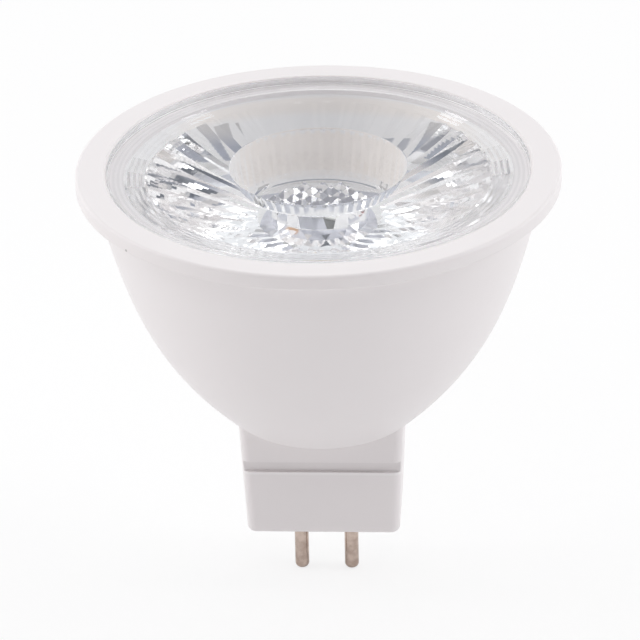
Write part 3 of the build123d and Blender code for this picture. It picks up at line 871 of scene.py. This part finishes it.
class BULB_OT_light_source(bpy.types.Operator):
    """Finish the heat sink and what stands on it"""
    bl_idname = "bulb.light_source"
    bl_label = "Light source"

    def execute(self, context):
        dress(coated_cup(), "heat_sink")
        dress(printed_board(), "led_board")
        dress_plain(LIGHT_SOURCE_FINISHES)
        return {"FINISHED"}


class BULB_OT_driver(bpy.types.Operator):
    """Finish the driver board and its components"""
    bl_idname = "bulb.driver"
    bl_label = "Driver"

    def execute(self, context):
        dress(wound_copper(), "inductor_winding")
        dress_plain(DRIVER_FINISHES)
        return {"FINISHED"}


# Stage

# Lamps: name, place, width and height, radiance
LAMPS = (
    ("softbox_left", (-0.56, 0.06, 0.38), (0.26, 0.36), 1.5),
    ("softbox_right", (0.56, 0.06, 0.38), (0.26, 0.36), 1.5),
    ("strip_left", (-0.58, 0.03, 0.325), (0.06, 0.2), 11),
    ("strip_right", (0.555, -0.015, 0.375), (0.06, 0.2), 11),
    ("softbox_top", (0.0, 0.30, 0.62), (0.40, 0.16), 2.3),
    ("softbox_front", (0.0, -0.40, 0.60), (0.40, 0.16), 2.0),
)
LAMP_AIM = Vector((0, 0, 0.02))
BOUNCES = {
    "max_bounces": 32, "transmission_bounces": 32, "diffuse_bounces": 8, "glossy_bounces": 12}


class BULB_OT_stage(bpy.types.Operator):
    """Set the floor, the soft light and the camera"""
    bl_idname = "bulb.stage"
    bl_label = "Stage"

    def execute(self, context):
        scene = context.scene
        lay_floor(scene.bulb_stage)
        light_world(scene)
        for lamp in LAMPS:
            add_softbox(*lamp)
        add_camera(scene, scene.bulb_stage)
        scene.view_settings.view_transform = "Standard"
        for name, most in BOUNCES.items():
            setattr(scene.cycles, name, most)
        return {"FINISHED"}


FLOOR_HALF = 2
# Share of plain white in what the camera sees of the floor
FLOOR_WHITE = 0.78


def lay_floor(settings):
    """Pale floor under the pins: near white to the camera, with the bulb's soft shadow kept.

    From below it is clear.
    """
    material, graph = new_finish("floor_pale")
    paper = graph.add("ShaderNodeBsdfDiffuse", None, {"Color": tuple(settings.floor_colour)})
    white = graph.add("ShaderNodeEmission", None, {"Color": (1, 1, 1, 1), "Strength": 1.0})
    lit = graph.mix(graph.ray("Camera"), paper, graph.mix(FLOOR_WHITE, paper, white))
    below = graph.add("ShaderNodeNewGeometry", output="Backfacing")
    graph.show(graph.mix(below, lit, graph.add("ShaderNodeBsdfTransparent")))
    level = CAD_BOX[0].z
    corners = ((-1, -1), (1, -1), (1, 1), (-1, 1))
    mesh = bpy.data.meshes.new("floor")
    mesh.from_pydata(
        [(FLOOR_HALF * x, FLOOR_HALF * y, level) for x, y in corners], [], [(0, 1, 2, 3)])
    mesh.materials.append(material)
    floor = bpy.data.objects.new("floor", mesh)
    bpy.context.scene.collection.objects.link(floor)


# The room by direction: x to the right, y to the back, z up. Each lift adds to the front's level,
# and the horizon leans to the right, where it is brighter.
FRONT_LEVEL = 0.38
BACK_ZONE = (-0.8, 0.3)
BACK_LIFT = 0.46
SIDE_LIFT = 0.40
HORIZON_ZONE = (0.0, 0.3)
HORIZON_LIFT = 0.72
HORIZON_LEAN = 0.15
LEFT_ZONE = (0.0, 0.5)
LEFT_LIFT = 0.16
DOORWAY = (0.28, -0.84, 0.46)
DOORWAY_EDGE = (0.78, 0.92)
DOORWAY_SILL = (0.1, 0.3)
DOORWAY_DIMMING = 0.8
DOORWAY_BLUE = (0.55, 0.68, 1.0, 1)
COOL_ZONE = (-0.6, 0.4)
WARM_FRONT = (1.0, 0.95, 0.94, 1)
COOL_BACK = (0.96, 0.98, 1.0, 1)


def light_world(scene):
    """Soft room, brighter at the back, the sides and the horizon, with a dim doorway in front.

    To the camera it is plain white.
    """
    scene.world = bpy.data.worlds.new("soft_room")
    scene.world.use_nodes = True
    graph = Graph(scene.world.node_tree)
    toward = graph.add("ShaderNodeTexCoord", output="Generated")
    across, along, upward = graph.parts(toward)
    opening = graph.measure("DOT_PRODUCT", toward, DOORWAY).rise(*DOORWAY_EDGE)
    opening = opening * upward.rise(*DOORWAY_SILL)
    back = along.rise(*BACK_ZONE)
    left = (0 - across).rise(*LEFT_ZONE) * (1 - back)
    horizon = upward.fall(*HORIZON_ZONE)
    level = FRONT_LEVEL + BACK_LIFT * back + SIDE_LIFT * across ** 2 + LEFT_LIFT * left
    level = level + (HORIZON_LIFT + HORIZON_LEAN * across) * horizon
    level = level * (1 - DOORWAY_DIMMING * opening)
    tint = graph.blend(along.rise(*COOL_ZONE), WARM_FRONT, COOL_BACK)
    tint = graph.blend(opening, tint, DOORWAY_BLUE)
    camera = graph.ray("Camera")
    colour = graph.blend(camera, tint, (1, 1, 1, 1))
    strength = level + camera * (1 - level)
    shader = graph.add("ShaderNodeBackground", None, {"Color": colour, "Strength": strength})
    graph.add("ShaderNodeOutputWorld", None, {"Surface": shader})


def add_softbox(name, place, size, radiance):
    """Rectangular lamp that faces the bulb and is as bright as a white card of that radiance."""
    lamp = bpy.data.lights.new(name, "AREA")
    lamp.shape = "RECTANGLE"
    lamp.size, lamp.size_y = size
    lamp.energy = radiance * math.pi * size[0] * size[1]
    box = bpy.data.objects.new(name, lamp)
    box.location = place
    box.rotation_euler = (Vector(place) - LAMP_AIM).to_track_quat("Z", "Y").to_euler()
    bpy.context.scene.collection.objects.link(box)


CAMERA_NEAR, CAMERA_FAR = 0.01, 20


def add_camera(scene, settings):
    """Camera at the photograph's angle."""
    turn, rise, roll = settings.azimuth, settings.elevation, settings.roll
    back = Vector((
        math.sin(turn) * math.cos(rise), -math.cos(turn) * math.cos(rise), math.sin(rise)))
    right = Vector((math.cos(turn), math.sin(turn), 0))
    up = back.cross(right)
    across = math.cos(roll) * right + math.sin(roll) * up
    upright = back.cross(across)
    aim = Vector((0, 0, settings.aim_height)) + across * settings.aim_side
    data = bpy.data.cameras.new("camera")
    data.lens = settings.focal_length
    data.clip_start, data.clip_end = CAMERA_NEAR, CAMERA_FAR
    camera = bpy.data.objects.new("camera", data)
    axes = Matrix((across, upright, back)).transposed().to_4x4()
    camera.matrix_world = Matrix.Translation(aim + back * settings.distance) @ axes
    scene.collection.objects.link(camera)
    scene.camera = camera


class BULB_PT_panel(bpy.types.Panel):
    """Lists the bulb's pieces and its stage"""
    bl_idname = "BULB_PT_panel"
    bl_label = "LED Spotlight Bulb"
    bl_space_type = "VIEW_3D"
    bl_region_type = "UI"
    bl_category = "Spot Bulb"

    def draw(self, context):
        for operator in OPERATORS:
            self.layout.operator(operator.bl_idname)


OPERATORS = (
    BULB_OT_housing,
    BULB_OT_lens,
    BULB_OT_contact_pins,
    BULB_OT_light_source,
    BULB_OT_driver,
    BULB_OT_stage,
)
SETTINGS = {"bulb_housing": HousingSettings, "bulb_lens": LensSettings, "bulb_stage": StageSettings}


def register():
    for name, group in SETTINGS.items():
        bpy.utils.register_class(group)
        setattr(bpy.types.Scene, name, PointerProperty(type=group))
    for made in (*OPERATORS, BULB_PT_panel):
        bpy.utils.register_class(made)


def unregister():
    for made in (BULB_PT_panel, *reversed(OPERATORS)):
        bpy.utils.unregister_class(made)
    for name, group in reversed(SETTINGS.items()):
        delattr(bpy.types.Scene, name)
        bpy.utils.unregister_class(group)


def main():
    """Builds every piece and the stage."""
    register()
    bpy.ops.bulb.housing()
    bpy.ops.bulb.lens()
    bpy.ops.bulb.contact_pins()
    bpy.ops.bulb.light_source()
    bpy.ops.bulb.driver()
    bpy.ops.bulb.stage()


if __name__ == "__main__":
    main()
